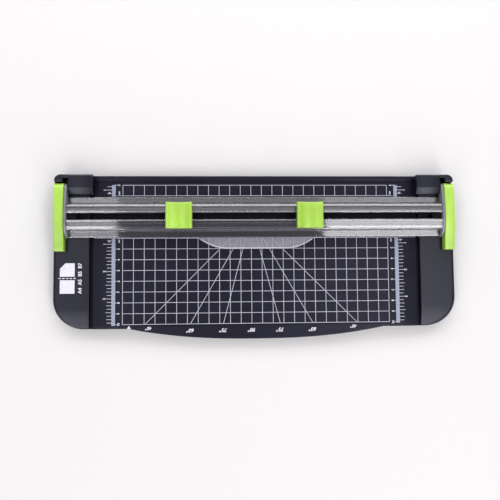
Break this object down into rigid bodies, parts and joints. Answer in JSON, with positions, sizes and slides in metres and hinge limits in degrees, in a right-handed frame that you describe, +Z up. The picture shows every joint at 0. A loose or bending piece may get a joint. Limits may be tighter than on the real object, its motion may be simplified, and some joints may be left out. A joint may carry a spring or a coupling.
{
  "type": "rotary paper trimmer",
  "caption": "Desk paper trimmer with a ruled black base, a clear press rail that lifts on rear hinges, and sliding green cutters with round blades.",
  "frame": {"origin": "on the table, under the middle of the outline", "axes": "+X to the right along the cutting line, +Y to the rear where the rail is hinged, +Z up"},
  "size_m": [0.377, 0.153, 0.034],
  "materials": {
    "black_abs": "fine textured black plastic",
    "bed_black": "satin black plastic",
    "strip_black": "soft black plastic",
    "lime": "lime green plastic",
    "clear": "clear polished plastic",
    "grey_plastic": "smoky translucent plastic",
    "steel": "bright steel",
    "rubber": "matt black rubber"
  },
  "bodies": {
    "base": {"base_tray": "bed_black", "cutting_strip": "strip_black", "front_left_foot": "rubber", "front_middle_foot": "rubber", "front_right_foot": "rubber", "rear_left_foot": "rubber", "rear_middle_foot": "rubber", "rear_right_foot": "rubber", "left_end_cover": "black_abs", "left_hinge_pin": "steel", "left_front_screw": "steel", "left_middle_screw": "steel", "left_rear_screw": "steel", "right_end_cover": "black_abs", "right_hinge_pin": "steel", "right_front_screw": "steel", "right_middle_screw": "steel", "right_rear_screw": "steel"},
    "rail": {"guide_rail": "clear", "front_press_strip": "clear", "rear_press_strip": "clear", "left_hinge_arm": "grey_plastic", "left_end_cap": "lime", "left_rail_plug": "black_abs", "left_front_rail_screw": "steel", "left_rear_rail_screw": "steel", "right_hinge_arm": "grey_plastic", "right_end_cap": "lime", "right_rail_plug": "black_abs", "right_front_rail_screw": "steel", "right_rear_rail_screw": "steel"},
    "left_carriage": {"left_cutter_shoe": "black_abs", "left_spring_a": "steel", "left_spring_b": "steel"},
    "left_head": {"left_thumb_cap": "lime", "left_blade_holder": "black_abs", "left_blade_axle": "steel"},
    "left_blade": {"left_blade": "steel"},
    "right_carriage": {"right_cutter_shoe": "black_abs", "right_spring_a": "steel", "right_spring_b": "steel"},
    "right_head": {"right_thumb_cap": "lime", "right_blade_holder": "black_abs", "right_blade_axle": "steel"},
    "right_blade": {"right_blade": "steel"}
  },
  "joints": [
    {"name": "rail_lift", "type": "hinge", "parent": "base", "child": "rail", "pos_m": [0, 0.0634, 0.018], "axis": [-1, 0, 0], "range_deg": [0, 50]},
    {"name": "left_cutter_slide", "type": "slide", "parent": "rail", "child": "left_carriage", "axis": [1, 0, 0], "range_m": [-0.0789, 0.0945]},
    {"name": "left_cutter_press", "type": "slide", "parent": "left_carriage", "child": "left_head", "axis": [0, 0, -1], "range_m": [0, 0.003], "stiffness_N_per_m": 600, "springref_m": -0.002, "deforming": ["left_spring_a", "left_spring_b"]},
    {"name": "left_blade_spin", "type": "hinge", "parent": "left_head", "child": "left_blade", "pos_m": [-0.0715, 0.0372, 0.0203], "axis": [0, 1, 0], "continuous": true},
    {"name": "right_cutter_slide", "type": "slide", "parent": "rail", "child": "right_carriage", "axis": [1, 0, 0], "range_m": [-0.0945, 0.1023]},
    {"name": "right_cutter_press", "type": "slide", "parent": "right_carriage", "child": "right_head", "axis": [0, 0, -1], "range_m": [0, 0.003], "stiffness_N_per_m": 600, "springref_m": -0.002, "deforming": ["right_spring_a", "right_spring_b"]},
    {"name": "right_blade_spin", "type": "hinge", "parent": "right_head", "child": "right_blade", "pos_m": [0.0481, 0.0372, 0.0203], "axis": [0, 1, 0], "continuous": true}
  ]
}
